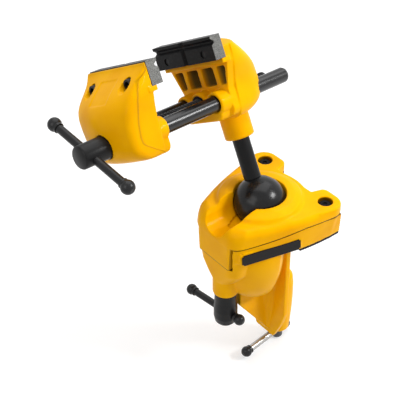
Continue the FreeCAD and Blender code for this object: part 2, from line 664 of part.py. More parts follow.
def moving_jaw():
    """A deep shell with a drawn-in frame at the seat and a shallow bare label field in front."""
    seat = MOVING_SEAT
    levels = [(-18.9, 14.0, 21.0), (-17.0, 22.0, 27.4), (-13.5, 28.8, 29.6), (-8, 33.0, 30.6),
              (0, 34.2, 31.4), (16, 34.0, 33.6), (27.5, 29.8, 36.8), (39, 17.4, 38.2), (46.2, 7.6, 38.2),
              (PLATE_TOP - 0.6, 2.6, 38.0)]
    shell = Part.makeLoft([shell_section(z, seat, d, h) for z, d, h in levels], True, False)
    inner = Part.makeLoft([shell_section(z, seat, d - 1, h - SHELL_STEP) for z, d, h in levels], True, False)
    behind = prism([(x, -60, z) for x, z in SHELL_EDGE] + [(-60, -60, 54)], (0, 120, 0))
    window = Part.makeBox(60, LABEL[1] - LABEL[0], LABEL[3] - LABEL[2], Vector(-120, LABEL[0], LABEL[2]))
    floor = shell.copy()
    floor.translate(Vector(LABEL_DEEP * 0.7, 0, -LABEL_DEEP * 0.7))
    dome = shell.cut([behind, window.cut(floor)]).fuse(inner)
    ledge = Part.makeBox(8, 2 * JAW_HALF, PLATE_BOTTOM - 30, Vector(seat - 4, -JAW_HALF, 30))
    row = rod_boss_row(MOVING_BOSS_FACE, seat - 4, 9.4, -19.4)
    jaw = dome.fuse([ledge, row])
    jaw = jaw.cut(pockets(seat, -1) + plate_screw_cuts(seat, -1, MOVING_FRAME_FRONT))
    for side in (1, -1):
        jaw = jaw.cut(cylinder(ROD_R, (ROD_ROOT, side * ROD_Y, 0), (0, side * ROD_Y, 0)))
        jaw = jaw.cut(cylinder(PIN_R, (PIN_X, side * ROD_Y, -40), (PIN_X, side * ROD_Y, 0)))
    jaw = jaw.cut(cylinder(SCREW_R + 0.3, (-130, 0, 0), (0, 0, 0)))
    jaw = jaw.cut(cylinder(HUB_POCKET_R, (-130, 0, 0), (HUB_SEAT, 0, 0)))
    jaw = jaw.cut(cylinder(COLLAR_R + 0.5, (MOVING_BOSS_FACE - COLLAR_LONG - 1.1, 0, 0), (0, 0, 0)))
    return jaw.removeSplitter()


def guide_rod(side):
    """A ground rod with a rounded free end, cross-drilled where it is pinned."""
    y = side * ROD_Y
    long = ROD_END - ROD_ROOT
    rod = revolve([(0, 0), (ROD_R, 0), (ROD_R, long - 2), (ROD_R - 0.6, long - 0.6), (ROD_R - 2, long),
                   (0, long)], (ROD_ROOT, y, 0), (1, 0, 0))
    return rod.cut(cylinder(PIN_R, (PIN_X, y, -20), (PIN_X, y, 3)))


def rod_pins():
    return Part.makeCompound(both_sides(cylinder(PIN_R, (PIN_X, ROD_Y, -13.4), (PIN_X, ROD_Y, 3))))


def main_screw(bar):
    hub_long = HUB_SEAT - 0.3 - HUB_END
    hub = revolve([(0, 0), (HUB_R - 0.8, 0), (HUB_R, 0.8), (HUB_R, hub_long), (0, hub_long)],
                  (HUB_END, 0, 0), (1, 0, 0))
    thread = revolve([(0, 0), (SCREW_R, 0), (SCREW_R, SCREW_END - HUB_SEAT - 1.5),
                      (SCREW_R - 1.5, SCREW_END - HUB_SEAT), (0, SCREW_END - HUB_SEAT)],
                     (HUB_SEAT - 0.3, 0, 0), (1, 0, 0))
    return hub.fuse(thread).cut(bar).removeSplitter()


def screw_collar():
    ring = cylinder(COLLAR_R, (MOVING_BOSS_FACE - COLLAR_LONG - 0.8, 0, 0), (MOVING_BOSS_FACE - 0.8, 0, 0))
    return ring.cut(cylinder(SCREW_R, (-130, 0, 0), (0, 0, 0)))


def main():
    os.makedirs("parts", exist_ok=True)
    save("base_body", base_body(), BASE)
    save("socket_cap", socket_cap(), BASE)
    save("cap_bolts", cap_bolts(), BASE)
    save("bench_pad", bench_pad(), BASE)
    save("badge_plate", badge(), BASE)
    lock_bar, lock_ends = t_bar(LOCK_BAR, (LOCK_X, 0, LOCK_BAR_Z), LOCK_BAR_WAY, LOCK_BAR_SHIFT)
    lock_hole = bar_hole(LOCK_BAR, (LOCK_X, 0, LOCK_BAR_Z), LOCK_BAR_WAY)
    save("lock_washer", lock_washer(), BASE)
    save("lock_screw", lock_screw(lock_hole), BASE)
    save("lock_handle_bar", lock_bar, BASE)
    save("lock_handle_ends", lock_ends, BASE)
    clamp_bar, clamp_ends = t_bar(CLAMP_BAR, (CLAMP_X, 0, CLAMP_BAR_Z), CLAMP_BAR_WAY, CLAMP_BAR_SHIFT)
    clamp_hole = bar_hole(CLAMP_BAR, (CLAMP_X, 0, CLAMP_BAR_Z), CLAMP_BAR_WAY)
    save("clamp_foot", clamp_foot(), BASE)
    save("clamp_screw", clamp_screw(clamp_hole), BASE)
    save("clamp_handle_bar", clamp_bar, BASE)
    save("clamp_handle_ends", clamp_ends, BASE)
    save("ball", ball(), HEAD)
    save("stem", stem(), HEAD)
    save("stem_set_screw", stem_set_screw(), HEAD)
    save("fixed_jaw", fixed_jaw(), HEAD)
    save("fixed_jaw_plate", jaw_plate(0, 1), HEAD)
    save("fixed_plate_screws", plate_screws(0, FRAME_BACK, 1), HEAD)
    save("screw_nut", screw_nut(), HEAD)
    save("moving_jaw", moving_jaw(), HEAD)
    save("moving_jaw_plate", jaw_plate(-OPENING, -1), HEAD)
    save("moving_plate_screws", plate_screws(-OPENING, MOVING_FRAME_FRONT, -1), HEAD)
    save("near_guide_rod", guide_rod(-1), HEAD)
    save("far_guide_rod", guide_rod(1), HEAD)
    save("rod_pins", rod_pins(), HEAD)
    angle = math.radians(MAIN_BAR_ANGLE)
    way = (0, math.cos(angle), math.sin(angle))
    main_bar, main_ends = t_bar(MAIN_BAR, (MAIN_BAR_X, 0, 0), way, MAIN_BAR_SHIFT)
    main_hole = bar_hole(MAIN_BAR, (MAIN_BAR_X, 0, 0), way)
    save("main_screw", main_screw(main_hole), HEAD)
    save("screw_collar", screw_collar(), HEAD)
    save("main_handle_bar", main_bar, HEAD)
    save("main_handle_ends", main_ends, HEAD)


main()
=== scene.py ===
import json
import math

import bmesh
import bpy
import numpy as np
from bpy.props import FloatProperty, FloatVectorProperty, IntProperty, PointerProperty
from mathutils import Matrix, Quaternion, Vector


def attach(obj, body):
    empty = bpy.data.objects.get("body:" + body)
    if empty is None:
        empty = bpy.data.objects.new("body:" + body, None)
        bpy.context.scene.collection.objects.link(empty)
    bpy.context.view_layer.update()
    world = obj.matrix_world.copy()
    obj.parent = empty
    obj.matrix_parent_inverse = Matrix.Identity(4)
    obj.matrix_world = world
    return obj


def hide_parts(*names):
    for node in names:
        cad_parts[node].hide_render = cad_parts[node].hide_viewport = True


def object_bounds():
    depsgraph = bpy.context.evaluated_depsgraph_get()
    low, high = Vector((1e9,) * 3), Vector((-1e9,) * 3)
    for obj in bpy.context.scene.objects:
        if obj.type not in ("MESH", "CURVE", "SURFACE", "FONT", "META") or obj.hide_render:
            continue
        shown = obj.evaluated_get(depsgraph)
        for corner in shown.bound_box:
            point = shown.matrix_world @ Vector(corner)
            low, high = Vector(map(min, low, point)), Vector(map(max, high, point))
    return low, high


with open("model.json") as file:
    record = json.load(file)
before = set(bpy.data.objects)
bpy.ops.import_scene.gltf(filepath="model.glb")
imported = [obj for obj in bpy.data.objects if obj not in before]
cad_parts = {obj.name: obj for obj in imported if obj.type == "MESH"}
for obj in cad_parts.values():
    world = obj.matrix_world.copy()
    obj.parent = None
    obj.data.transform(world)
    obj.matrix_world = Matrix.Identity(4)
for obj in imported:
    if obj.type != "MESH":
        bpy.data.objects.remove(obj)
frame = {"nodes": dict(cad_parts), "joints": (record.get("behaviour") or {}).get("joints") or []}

bl_info = {
    "name": "Ball-joint bench vise",
    "version": (1, 0, 0),
    "blender": (4, 5, 0),
    "location": "3D View > Sidebar > Vise",
    "description": "Dresses a bench vise that clamps to a table edge and turns on a lockable ball",
    "category": "Object",
}

CAD_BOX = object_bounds()

# The head stands askew on the ball, so its own directions come from its joints:
# MAIN along the main screw, STEM up the stem, ACROSS from the near to the far jaw end.
JOINTS = {joint["name"]: joint for joint in frame["joints"]}
MAIN = np.array(JOINTS["jaw_slide"]["axis"])
STEM = np.array(JOINTS["head_spin"]["axis"])
ACROSS = np.cross(STEM, MAIN)
UP = np.array([0.0, 0.0, 1.0])
BALL = np.array(JOINTS["ball_lean"]["pos_m"])
MAIN_FOOT = np.array(JOINTS["main_screw_turn"]["pos_m"])
CLAMP_FOOT = np.array(JOINTS["clamp_screw_turn"]["pos_m"])
MM = 0.001


def corners(node):
    """The vertices of a CAD node as an array of points."""
    mesh = frame["nodes"][node].data
    points = np.zeros(len(mesh.vertices) * 3)
    mesh.vertices.foreach_get("co", points)
    return points.reshape(-1, 3)


def reach(node, axis, foot=(0.0, 0.0, 0.0)):
    """How far a CAD node reaches along an axis, measured from a point on it: (least, most)."""
    along = (corners(node) - np.array(foot)) @ np.array(axis)
    return float(along.min()), float(along.max())


# Where the main screw's axis meets the face of the fixed jaw plate.
HEAD = MAIN_FOOT + MAIN * reach("fixed_jaw_plate", MAIN, MAIN_FOOT)[0]


# ---------------------------------------------------------------- sizes and colours

class CastingSettings(bpy.types.PropertyGroup):
    """Sizes and colours of the painted castings."""
    grain: FloatProperty(name="Grain", description="Cell size at which a casting's skin is rebuilt",
                         default=0.0006, unit="LENGTH")
    rounding: IntProperty(name="Rounding", description="Passes that soften the base's cast edges",
                          default=4)
    jaw_rounding: IntProperty(name="Jaw rounding", default=2,
                              description="Passes that soften the jaws' cast edges")
    paint: FloatVectorProperty(name="Paint", description="Colour of the enamel", subtype="COLOR",
                               size=3, default=(0.97, 0.475, 0.0), min=0, max=1)
    paint_dark: FloatVectorProperty(name="Thin paint", subtype="COLOR", size=3, min=0, max=1,
                                    description="Colour where the enamel lies thin",
                                    default=(0.90, 0.40, 0.0))
    # Dirt along the base's parting line, and painted shade: the colour that the gaps around the
    # cap's tongue, the bolt holes and the step of the moving jaw's shell darken to.
    grime_and_shade: FloatVectorProperty(name="Grime", description="Colour of the dirt in the joints",
                               subtype="COLOR", size=3, default=(0.060, 0.026, 0.002), min=0, max=1)
    # Painted shade: the colour that the fixed jaw's core pockets darken to towards their floors.
    core: FloatVectorProperty(name="Cores", subtype="COLOR", size=3, min=0, max=1,
                              description="Colour of the thin enamel down in the cores",
                              default=(0.20, 0.155, 0.05))


class ScrewSettings(bpy.types.PropertyGroup):
    """Sizes of the threaded parts and colours of the steel."""
    main_radius: FloatProperty(name="Main screw", description="Radius over the main screw's thread",
                               default=0.0063, unit="LENGTH")
    main_pitch: FloatProperty(name="Main pitch", default=0.003, unit="LENGTH",
                              description="Advance of the main screw in one turn")
    hub_radius: FloatProperty(name="Hub", description="Radius of the main screw's hub",
                              default=0.0095, unit="LENGTH")
    hub_long: FloatProperty(name="Hub length", description="Length of the main screw's hub",
                            default=0.0297, unit="LENGTH")
    clamp_radius: FloatProperty(name="Clamp screw", default=0.0054, unit="LENGTH",
                                description="Radius over the clamp screw's thread")
    clamp_pitch: FloatProperty(name="Clamp pitch", default=0.002, unit="LENGTH",
                               description="Advance of the clamp screw in one turn")
    clamp_hub_long: FloatProperty(name="Clamp hub length", default=0.022, unit="LENGTH",
                                  description="Length of the clamp screw's plain end")
    steel: FloatVectorProperty(name="Blackened steel", subtype="COLOR", size=3, min=0, max=1,
                               description="Colour of the oxide finish",
                               default=(0.005, 0.005, 0.0054))
    worn: FloatVectorProperty(name="Handled steel", subtype="COLOR", size=3, min=0, max=1,
                              description="Colour of the oxide where hands rub it",
                              default=(0.014, 0.014, 0.0145))
    bright: FloatVectorProperty(name="Bright steel", subtype="COLOR", size=3, min=0, max=1,
                                description="Colour of the clamp bar, which is left bright",
                                default=(0.42, 0.42, 0.41))


class PlateSettings(bpy.types.PropertyGroup):
    """Sizes and colours of the jaw plates, pad and badge."""
    edge: FloatProperty(name="Edge", description="Width of the broken edges of the plates and pad",
                        default=0.0004, unit="LENGTH")
    badge_edge: FloatProperty(name="Badge edge", description="Width of the badge's broken edges",
                              default=0.0002, unit="LENGTH")
    ground: FloatVectorProperty(name="Ground steel", subtype="COLOR", size=3, min=0, max=1,
                                description="Colour of the ground top faces",
                                default=(0.016, 0.016, 0.017))
    sawn: FloatVectorProperty(name="Sawn steel", description="Colour of the sawn plate ends",
                              subtype="COLOR", size=3, default=(0.085, 0.085, 0.081), min=0, max=1)
    rubber: FloatVectorProperty(name="Rubber", subtype="COLOR", size=3, min=0, max=1,
                                description="Colour of the bench pad",
                                default=(0.012, 0.011, 0.011))


class StageSettings(bpy.types.PropertyGroup):
    """The floor, the lamps and the camera."""
    floor: FloatVectorProperty(name="Floor", description="Colour of the floor", subtype="COLOR",
                               size=3, default=(0.62, 0.62, 0.62), min=0, max=1)
    place: FloatVectorProperty(name="Camera place", description="Where the camera stands",
                               size=3, default=(-0.499091, -0.523339, 0.583071), unit="LENGTH")
    aim: FloatVectorProperty(name="Camera aim", description="The point the camera looks at",
                             size=3, default=(-0.064421, 0.032996, 0.0315), unit="LENGTH")
    roll: FloatProperty(name="Camera roll", description="Turn of the camera about its view",
                        default=math.radians(-0.775), unit="ROTATION")
    lens: FloatProperty(name="Lens", description="Focal length in millimetres", default=95.829)


# ---------------------------------------------------------------- materials

class Wire:
    """A socket that is reckoned with like a number: each operator adds its Math node."""

    def __init__(self, finish, socket):
        self.finish = finish
        self.socket = socket

    def math(self, operation, *values):
        """A Math node on values that are numbers or sockets."""
        return self.finish.node("Math", {"operation": operation}, dict(enumerate(values)))["Value"]

    def __add__(self, other):
        return self.math("ADD", self, other)

    def __sub__(self, other):
        return self.math("SUBTRACT", self, other)

    def __rsub__(self, other):
        return self.math("SUBTRACT", other, self)

    def __mul__(self, other):
        return self.math("MULTIPLY", self, other)

    def __truediv__(self, other):
        return self.math("DIVIDE", self, other)

    def __rtruediv__(self, other):
        return self.math("DIVIDE", other, self)

    def __gt__(self, other):
        return self.math("GREATER_THAN", self, other)

    def __lt__(self, other):
        return self.math("LESS_THAN", self, other)

    def __abs__(self):
        return self.math("ABSOLUTE", self)

    def at_most(self, other):
        """The smaller of the two."""
        return self.math("MINIMUM", self, other)

    def at_least(self, other):
        """The larger of the two."""
        return self.math("MAXIMUM", self, other)

    __radd__ = __add__
    __rmul__ = __mul__


class Made:
    """A node whose outputs are read by name."""

    def __init__(self, finish, node):
        self.finish = finish
        self.node = node

    def __getitem__(self, name):
        return Wire(self.finish, find_socket(self.node.outputs, name))


def find_socket(sockets, name):
    """A socket by its number, its identifier or its name."""
    if isinstance(name, int):
        return sockets[name]
    for socket in sockets:
        if socket.identifier == name:
            return socket
    return sockets[name]


class Finish:
    """One material, with its node tree and the sums that fill it."""

    def __init__(self, name):
        self.material = bpy.data.materials.new(name)
        self.material.use_nodes = True
        self.tree = self.material.node_tree
        self.tree.nodes.clear()

    def node(self, kind, settings=None, inputs=None):
        """Adds a node: its settings are put in first, then the values or links of its sockets."""
        node = self.tree.nodes.new("ShaderNode" + kind)
        for name, value in (settings or {}).items():
            if name == "stops":
                ramp = node.color_ramp
                while len(ramp.elements) < len(value):
                    ramp.elements.new(1.0)
                for element, (place, colour) in zip(ramp.elements, value):
                    element.position = place
                    element.color = (*colour, 1.0)
            else:
                setattr(node, name, value)
        for name, value in (inputs or {}).items():
            socket = find_socket(node.inputs, name)
            if isinstance(value, Wire):
                self.tree.links.new(value.socket, socket)
            elif socket.type == "RGBA" and len(value) == 3:
                socket.default_value = (*value, 1.0)
            else:
                socket.default_value = value
        return Made(self, node)

    def place(self):
        """The point of the surface, in the object's own frame."""
        return self.node("TexCoord")["Object"]

    def along(self, axis, foot=(0.0, 0.0, 0.0)):
        """How far the point lies along an axis from a foot."""
        reached = self.node("VectorMath", {"operation": "DOT_PRODUCT"},
                            {0: self.place(), 1: tuple(axis)})
        return reached["Value"] - float(np.dot(axis, foot))

    def stretched(self, axis, share):
        """The point with its distance along one axis multiplied by a share: a noise on it runs in
        rings square to the axis where the share is above 1, and in streaks along it below 1."""
        shift = self.node("VectorMath", {"operation": "SCALE"},
                          {0: tuple(axis), "Scale": self.along(axis) * (share - 1.0)})["Vector"]
        return self.node("VectorMath", {"operation": "ADD"}, {0: self.place(), 1: shift})["Vector"]

    def noise(self, scale, detail=2.0, rough=0.5, point=None):
        """Cloudy noise between 0 and 1."""
        return self.node("TexNoise", None, {"Vector": point or self.place(), "Scale": scale,
                                            "Detail": detail, "Roughness": rough})["Fac"]

    def ramp(self, value, low, high):
        """0 at low, 1 at high, straight between and level beyond; low may be the larger."""
        return self.node("MapRange", {"clamp": True},
                         {"Value": value, "From Min": low, "From Max": high})["Result"]

    def mix(self, share, first, second):
        """Goes from the first colour to the second as the share goes from 0 to 1."""
        mixed = self.node("Mix", {"data_type": "RGBA"},
                          {"Factor_Float": share, "A_Color": first, "B_Color": second})
        return mixed["Result_Color"]

    def bump(self, height, depth, strength=1.0):
        """A normal that follows a height between 0 and 1, as deep as depth metres."""
        return self.node("Bump", None, {"Height": height, "Distance": depth,
                                        "Strength": strength})["Normal"]

    def surface(self, **inputs):
        """The Principled shader and the output; the inputs are named with underscores."""
        named = {name.replace("_", " "): value for name, value in inputs.items()}
        if "IOR Level" in named:
            named["Specular IOR Level"] = named.pop("IOR Level")
        shader = self.node("BsdfPrincipled", None, named)["BSDF"]
        self.node("OutputMaterial", None, {"Surface": shader})
        return self.material


# The joints of the base, in millimetres from BALL. The parting line between cap and base is
# level at SEAM_Z behind SEAM_BEND and falls by SEAM_FALL for each millimetre towards the nose.
# Dirt lies within SEAM_WIDE of it, beyond SEAM_FROM to either side.
SEAM_Z, SEAM_BEND, SEAM_FALL = -5.45, 10.0, 0.1422
SEAM_WIDE, SEAM_FROM = 1.0, 22.0
# The tongue of the cap lies in front of TONGUE_X. At TONGUE_FOOT it reaches TONGUE_HALF to either
# side, and it widens by TONGUE_SPREAD as it rises. Painted shade lies within FLANK_WIDE of its
# flanks from TONGUE_LOW to TONGUE_HIGH, and within FOOT_WIDE of its foot, FOOT_HALF to either side.
TONGUE_X, TONGUE_FOOT, TONGUE_HALF, TONGUE_SPREAD = -40.0, -37.0, 20.0, 0.055
TONGUE_LOW, TONGUE_HIGH = -38.2, -12.5
FLANK_WIDE, FLANK_SHADE = 0.75, 0.5
FOOT_Z, FOOT_WIDE, FOOT_HALF = -37.2, 1.1, 20.6
# The bolt holes take painted shade from HOLE_TOP down to HOLE_DARK, within HOLE_RADIUS of their
# axes.
HOLE_RADIUS, HOLE_TOP, HOLE_DARK = 6.9282, 3.5, 2.0


def joint_dirt_and_shade(coat):
    """How dark the base gets, from 0 to 1: dirt along its parting line, and painted shade under the
    tongue of its cap, down in the two bolt holes and, more faintly, beside the tongue."""
    x = coat.along((1.0, 0.0, 0.0), BALL) / MM
    y = abs(coat.along((0.0, 1.0, 0.0), BALL) / MM)
    z = coat.along(UP, BALL) / MM
    seam = (x - SEAM_BEND).at_most(0.0) * SEAM_FALL + SEAM_Z
    parting = (abs(z - seam) < SEAM_WIDE) * (y > SEAM_FROM)
    flank = (z - TONGUE_FOOT) * TONGUE_SPREAD + TONGUE_HALF
    # Painted shade in the gaps beside and under the tongue.
    beside = (abs(y - flank) < FLANK_WIDE) * (z > TONGUE_LOW) * (z < TONGUE_HIGH) * FLANK_SHADE
    below = (abs(z - FOOT_Z) < FOOT_WIDE) * (y < FOOT_HALF)
    tongue = beside.at_least(below) * (x < TONGUE_X)
    # Painted shade down in the two bolt holes.
    bolts = (corners("cap_bolts") - BALL) / MM
    off_x, off_y = x - float(bolts[:, 0].mean()), y - float(np.abs(bolts[:, 1]).mean())
    hole_shade = off_x * off_x + off_y * off_y < HOLE_RADIUS ** 2
    hole_shade = hole_shade * coat.ramp(z, HOLE_TOP, HOLE_DARK)
    return parting.at_least(tongue).at_least(hole_shade)


# The fixed jaw's core pockets, in millimetres from HEAD: between what heights they lie, how far
# they reach to either side at the height CORE_FROM and how much they spread for each millimetre
# above it, and their mouth, floor and end along the main screw.
CORE_LOW, CORE_HIGH = 12.1, 28.0
CORE_HALF, CORE_SPREAD, CORE_FROM = 29.8, 0.28, 12.5
CORE_MOUTH, CORE_FLOOR, CORE_END = 10.4, 16.0, 24.2


def core_shade(coat):
    """Painted shade in the fixed jaw's core pockets: grows from 0 at their mouth to 1 at their
    floors.
    """
    x = coat.along(MAIN, HEAD) / MM
    y = abs(coat.along(ACROSS, HEAD) / MM)
    z = coat.along(STEM, HEAD) / MM
    half = CORE_HALF + CORE_SPREAD * (z - CORE_FROM)
    inside = (z > CORE_LOW) * (z < CORE_HIGH) * (y < half) * (x < CORE_END)
    return inside * coat.ramp(x, CORE_MOUTH, CORE_FLOOR)


# The rear edge of the moving jaw's shell, as (x, z) in millimetres from HEAD, how far from it
# the painted shade starts and is full, and how dark it gets.
SHELL_EDGE = ((-60.0, -19.6), (-64.0, -17.4), (-73.0, -12.3), (-79.0, -8.2), (-82.4, -5.8),
              (-84.2, -3.6), (-84.8, 1.0), (-84.0, 10.0), (-82.6, 18.0), (-81.3, 28.0),
              (-79.0, 35.0), (-75.0, 41.5), (-67.5, 46.5), (-65.4, 54.0))
EDGE_START, EDGE_FULL, EDGE_SHADE = 1.9, 0.3, 0.5


def shell_step_shade(coat):
    """Painted shade that grows towards the small step along the rear edge of the moving jaw's
    shell:
    the edge's x at a height z comes from a ramp with a stop at each corner of the edge."""
    x_low, x_span, z_low, z_span = -90.0, 40.0, -20.0, 80.0
    stops = [((z - z_low) / z_span, ((x - x_low) / x_span,) * 3) for x, z in SHELL_EDGE]
    height = (coat.along(STEM, HEAD) / MM - z_low) / z_span
    edge = coat.node("ValToRGB", {"stops": stops}, {"Fac": height})["Color"] * x_span + x_low
    off = abs(coat.along(MAIN, HEAD) / MM - edge)
    return coat.ramp(off, EDGE_START, EDGE_FULL) * EDGE_SHADE


def scaled(colour, share, lift=0.0):
    """A colour times a share, with a little added."""
    return tuple(share * value + lift for value in colour)


def enamel(name, settings, shade, dark):
    """Thick yellow enamel on a sand casting: a fine orange peel, soft waves and a thinner tone
    here and there. The shade function says where the casting takes the dark colour."""
    coat = Finish(name)
    clouds = coat.noise(38.0, 3.0)
    peel = coat.noise(900.0, 2.0, 0.6)
    waves = coat.noise(140.0, 2.0)
    thin = coat.ramp(clouds, 0.38, 0.72)
    colour = coat.mix(thin, tuple(settings.paint), tuple(settings.paint_dark))
    return coat.surface(
        Base_Color=coat.mix(shade(coat) * 0.9, colour, tuple(dark)),
        Roughness=0.32 + 0.12 * peel + 0.08 * clouds,
        Normal=coat.bump(peel * 0.4 + waves, 0.00008, 0.5),
        Coat_Weight=0.06,
        Coat_Roughness=0.12,
        IOR_Level=0.06,
        Specular_Tint=tuple(settings.paint),
    )


def blackened(name, colour, axis, ring_scale, rough, gloss, metal=0.0):
    """Steel that was turned or drawn and then blackened: fine rings square to the axis, smudges,
    and a paler tone where the oxide is rubbed."""
    coat = Finish(name)
    rings = coat.noise(ring_scale, 2.0, 0.5, coat.stretched(axis, 14.0))
    smudge = coat.noise(55.0, 3.0)
    worn = coat.ramp(coat.noise(260.0, 4.0, 0.65), 0.60, 0.78)
    return coat.surface(
        Base_Color=coat.mix(worn * 0.5 + rings * 0.12, tuple(colour), scaled(colour, 1.7, 0.010)),
        Metallic=metal,
        Roughness=rough + 0.08 * smudge + 0.06 * rings,
        Normal=coat.bump(rings, 0.00002, 0.25),
        IOR_Level=gloss,
    )


def polished_black(colour):
    """The ball's finish: smooth black with faint smears."""
    coat = Finish("ball_black")
    smear = coat.noise(70.0, 4.0, 0.6)
    fine = coat.noise(700.0, 2.0)
    return coat.surface(
        Base_Color=coat.mix(coat.ramp(smear, 0.35, 0.8), tuple(colour), scaled(colour, 1.5, 0.006)),
        Roughness=0.19 + 0.10 * smear,
        Normal=coat.bump(fine + smear, 0.00003, 0.3),
        IOR_Level=0.25,
    )


def plate_steel(name, node, settings, screws):
    """A jaw plate: worn black on its faces, ground on top, and sawn and speckled at its ends."""
    coat = Finish(name)
    top = reach(node, STEM)[1]
    ends = reach(node, ACROSS)
    skin = 0.00025
    on_top = coat.along(STEM) > top - skin
    middle = (ends[0] + ends[1]) / 2
    at_end = abs(coat.along(ACROSS) - middle) > (ends[1] - ends[0]) / 2 - skin
    grain = coat.noise(1500.0, 3.0, 0.7)
    brushed = coat.noise(900.0, 2.0, 0.5, coat.stretched(ACROSS, 0.05))
    worn = coat.noise(420.0, 4.0, 0.6)
    speckle = coat.mix(coat.ramp(grain, 0.38, 0.62), scaled(settings.sawn, 0.42),
                       scaled(settings.sawn, 1.75))
    ground = coat.mix(coat.ramp(brushed, 0.3, 0.7), scaled(settings.ground, 0.8),
                      tuple(settings.ground))
    black = coat.mix(coat.ramp(worn, 0.5, 0.8), tuple(screws.steel),
                     scaled(screws.steel, 2.2, 0.01))
    colour = coat.mix(at_end, coat.mix(on_top, black, ground), speckle)
    bare = on_top.at_least(at_end)
    return coat.surface(
        Base_Color=colour,
        Metallic=bare * 0.6,
        Roughness=0.46 - bare * 0.08 + 0.12 * grain,
        Normal=coat.bump(grain, 0.00006, 0.5),
        IOR_Level=0.12,
    )


def pad_rubber(settings):
    """Matt black rubber with a fine dusty grain."""
    coat = Finish("pad_rubber")
    grain = coat.noise(1100.0, 3.0, 0.6)
    return coat.surface(
        Base_Color=coat.mix(coat.ramp(grain, 0.4, 0.8), tuple(settings.rubber),
                            scaled(settings.rubber, 2.4)),
        Roughness=0.74 + 0.14 * grain,
        Normal=coat.bump(grain, 0.00006, 0.6),
        IOR_Level=0.2,
    )


def badge_black(settings):
    """A smooth bare plastic plate with a faint print grain."""
    coat = Finish("badge_black")
    grain = coat.noise(1600.0, 2.0)
    return coat.surface(
        Base_Color=coat.mix(grain, scaled(settings.rubber, 0.9), scaled(settings.rubber, 1.5)),
        Roughness=0.42 + 0.1 * grain,
        Normal=coat.bump(grain, 0.00002, 0.4),
        IOR_Level=0.12,
    )


def paint(target, material):
    """Gives an object one material."""
    target.data.materials.clear()
    target.data.materials.append(material)


# ---------------------------------------------------------------- meshes

def new_object(name, mesh):
    """An object of the scene that holds a mesh, a lamp or a camera."""
    made = bpy.data.objects.new(name, mesh)
    bpy.context.scene.collection.objects.link(made)
    return made


def finish_piece(piece, body, slot, material, *nodes, crease=180):
    """Puts a finished piece on its body, in place of the CAD nodes it stands for. Edges that
    bend by more than crease degrees stay sharp in the shading."""
    paint(piece, material)
    piece.data.shade_smooth()
    piece.data.set_sharp_from_angle(angle=math.radians(crease))
    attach(piece, body)
    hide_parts(*nodes)


def square_to(axis):
    """Two unit directions that make a right-handed set with an axis."""
    axis = np.array(axis, float)
    helper = UP if abs(axis[2]) < 0.9 else np.array([1.0, 0.0, 0.0])
    side = np.cross(helper, axis)
    side /= np.linalg.norm(side)
    return side, np.cross(axis, side)


def turned(name, stations, radii, foot, axis, around):
    """A turned solid on a grid: the point at station s and angle a is foot + s times the axis
    + r(s, a) times the direction that a turns to. Both ends are closed with a fan of triangles."""
    side, other = square_to(axis)
    angles = np.linspace(0, 2 * math.pi, around, endpoint=False)
    ring = np.cos(angles)[:, None] * side + np.sin(angles)[:, None] * other
    spine = np.asarray(foot) + stations[:, None] * np.asarray(axis)
    points = (spine[:, None, :] + radii[..., None] * ring[None]).reshape(-1, 3)
    index = np.arange(len(stations) * around).reshape(len(stations), around)
    beside = np.roll(index, -1, axis=1)
    walls = np.stack([index[:-1], beside[:-1], beside[1:], index[1:]], axis=-1).reshape(-1, 4)
    low, high = len(points), len(points) + 1
    caps = [np.stack([np.full(around, low), beside[0], index[0]], axis=-1),
            np.stack([np.full(around, high), index[-1], beside[-1]], axis=-1)]
    points = np.vstack([points, spine[:1], spine[-1:]])
    mesh = bpy.data.meshes.new(name)
    mesh.from_pydata(points, [], walls.tolist() + np.vstack(caps).tolist())
    return new_object(name, mesh)


def threaded(stations, angles, pitch, depth, start, end):
    """How deep the thread is cut at each station and angle: a V with a flat floor and flat crests
    that climbs one pitch in each turn, and that fades out over one pitch at both ends of the
    threaded stretch. The floor is where peak - slope times the distance from the middle of the
    groove, in pitches, is over 1, and the crests are where it is under 0."""
    peak, slope = 1.35, 2.9
    turn = (stations[:, None] / pitch - angles[None, :] / (2 * math.pi)) % 1.0
    groove = np.clip(peak - slope * np.abs(turn - 0.5), 0.0, 1.0)
    fade = np.clip((stations - start) / pitch, 0, 1) * np.clip((end - stations) / pitch, 0, 1)
    return depth * groove * fade[:, None]


def merged_copy(node, name):
    """A copy of a CAD node's mesh whose loose triangles are joined."""
    mesh = frame["nodes"][node].data.copy()
    mesh.name = name
    shell = bmesh.new()
    shell.from_mesh(mesh)
    bmesh.ops.remove_doubles(shell, verts=shell.verts, dist=1e-6)
    shell.to_mesh(mesh)
    shell.free()
    corner_normals = mesh.attributes.get("custom_normal")
    if corner_normals:
        mesh.attributes.remove(corner_normals)
    return new_object(name, mesh)


def apply_modifiers(piece):
    """Bakes the modifiers of a piece into its mesh."""
    seen = piece.evaluated_get(bpy.context.evaluated_depsgraph_get())
    mesh = bpy.data.meshes.new_from_object(seen)
    piece.modifiers.clear()
    old = piece.data
    piece.data = mesh
    bpy.data.meshes.remove(old)
    return piece


def softened(node, name, grain, passes, keep):
    """A casting with soft edges: its skin is rebuilt on a grid of the given grain, relaxed in a
    number of passes, and thinned to the share of its faces that is kept."""
    piece = merged_copy(node, name)
    rebuild = piece.modifiers.new("rebuild", "REMESH")
    rebuild.mode = "VOXEL"
    rebuild.voxel_size = grain
    relax = piece.modifiers.new("relax", "SMOOTH")
    relax.factor = 0.5
    relax.iterations = passes
    thin = piece.modifiers.new("thin", "DECIMATE")
    thin.ratio = keep
    return apply_modifiers(piece)


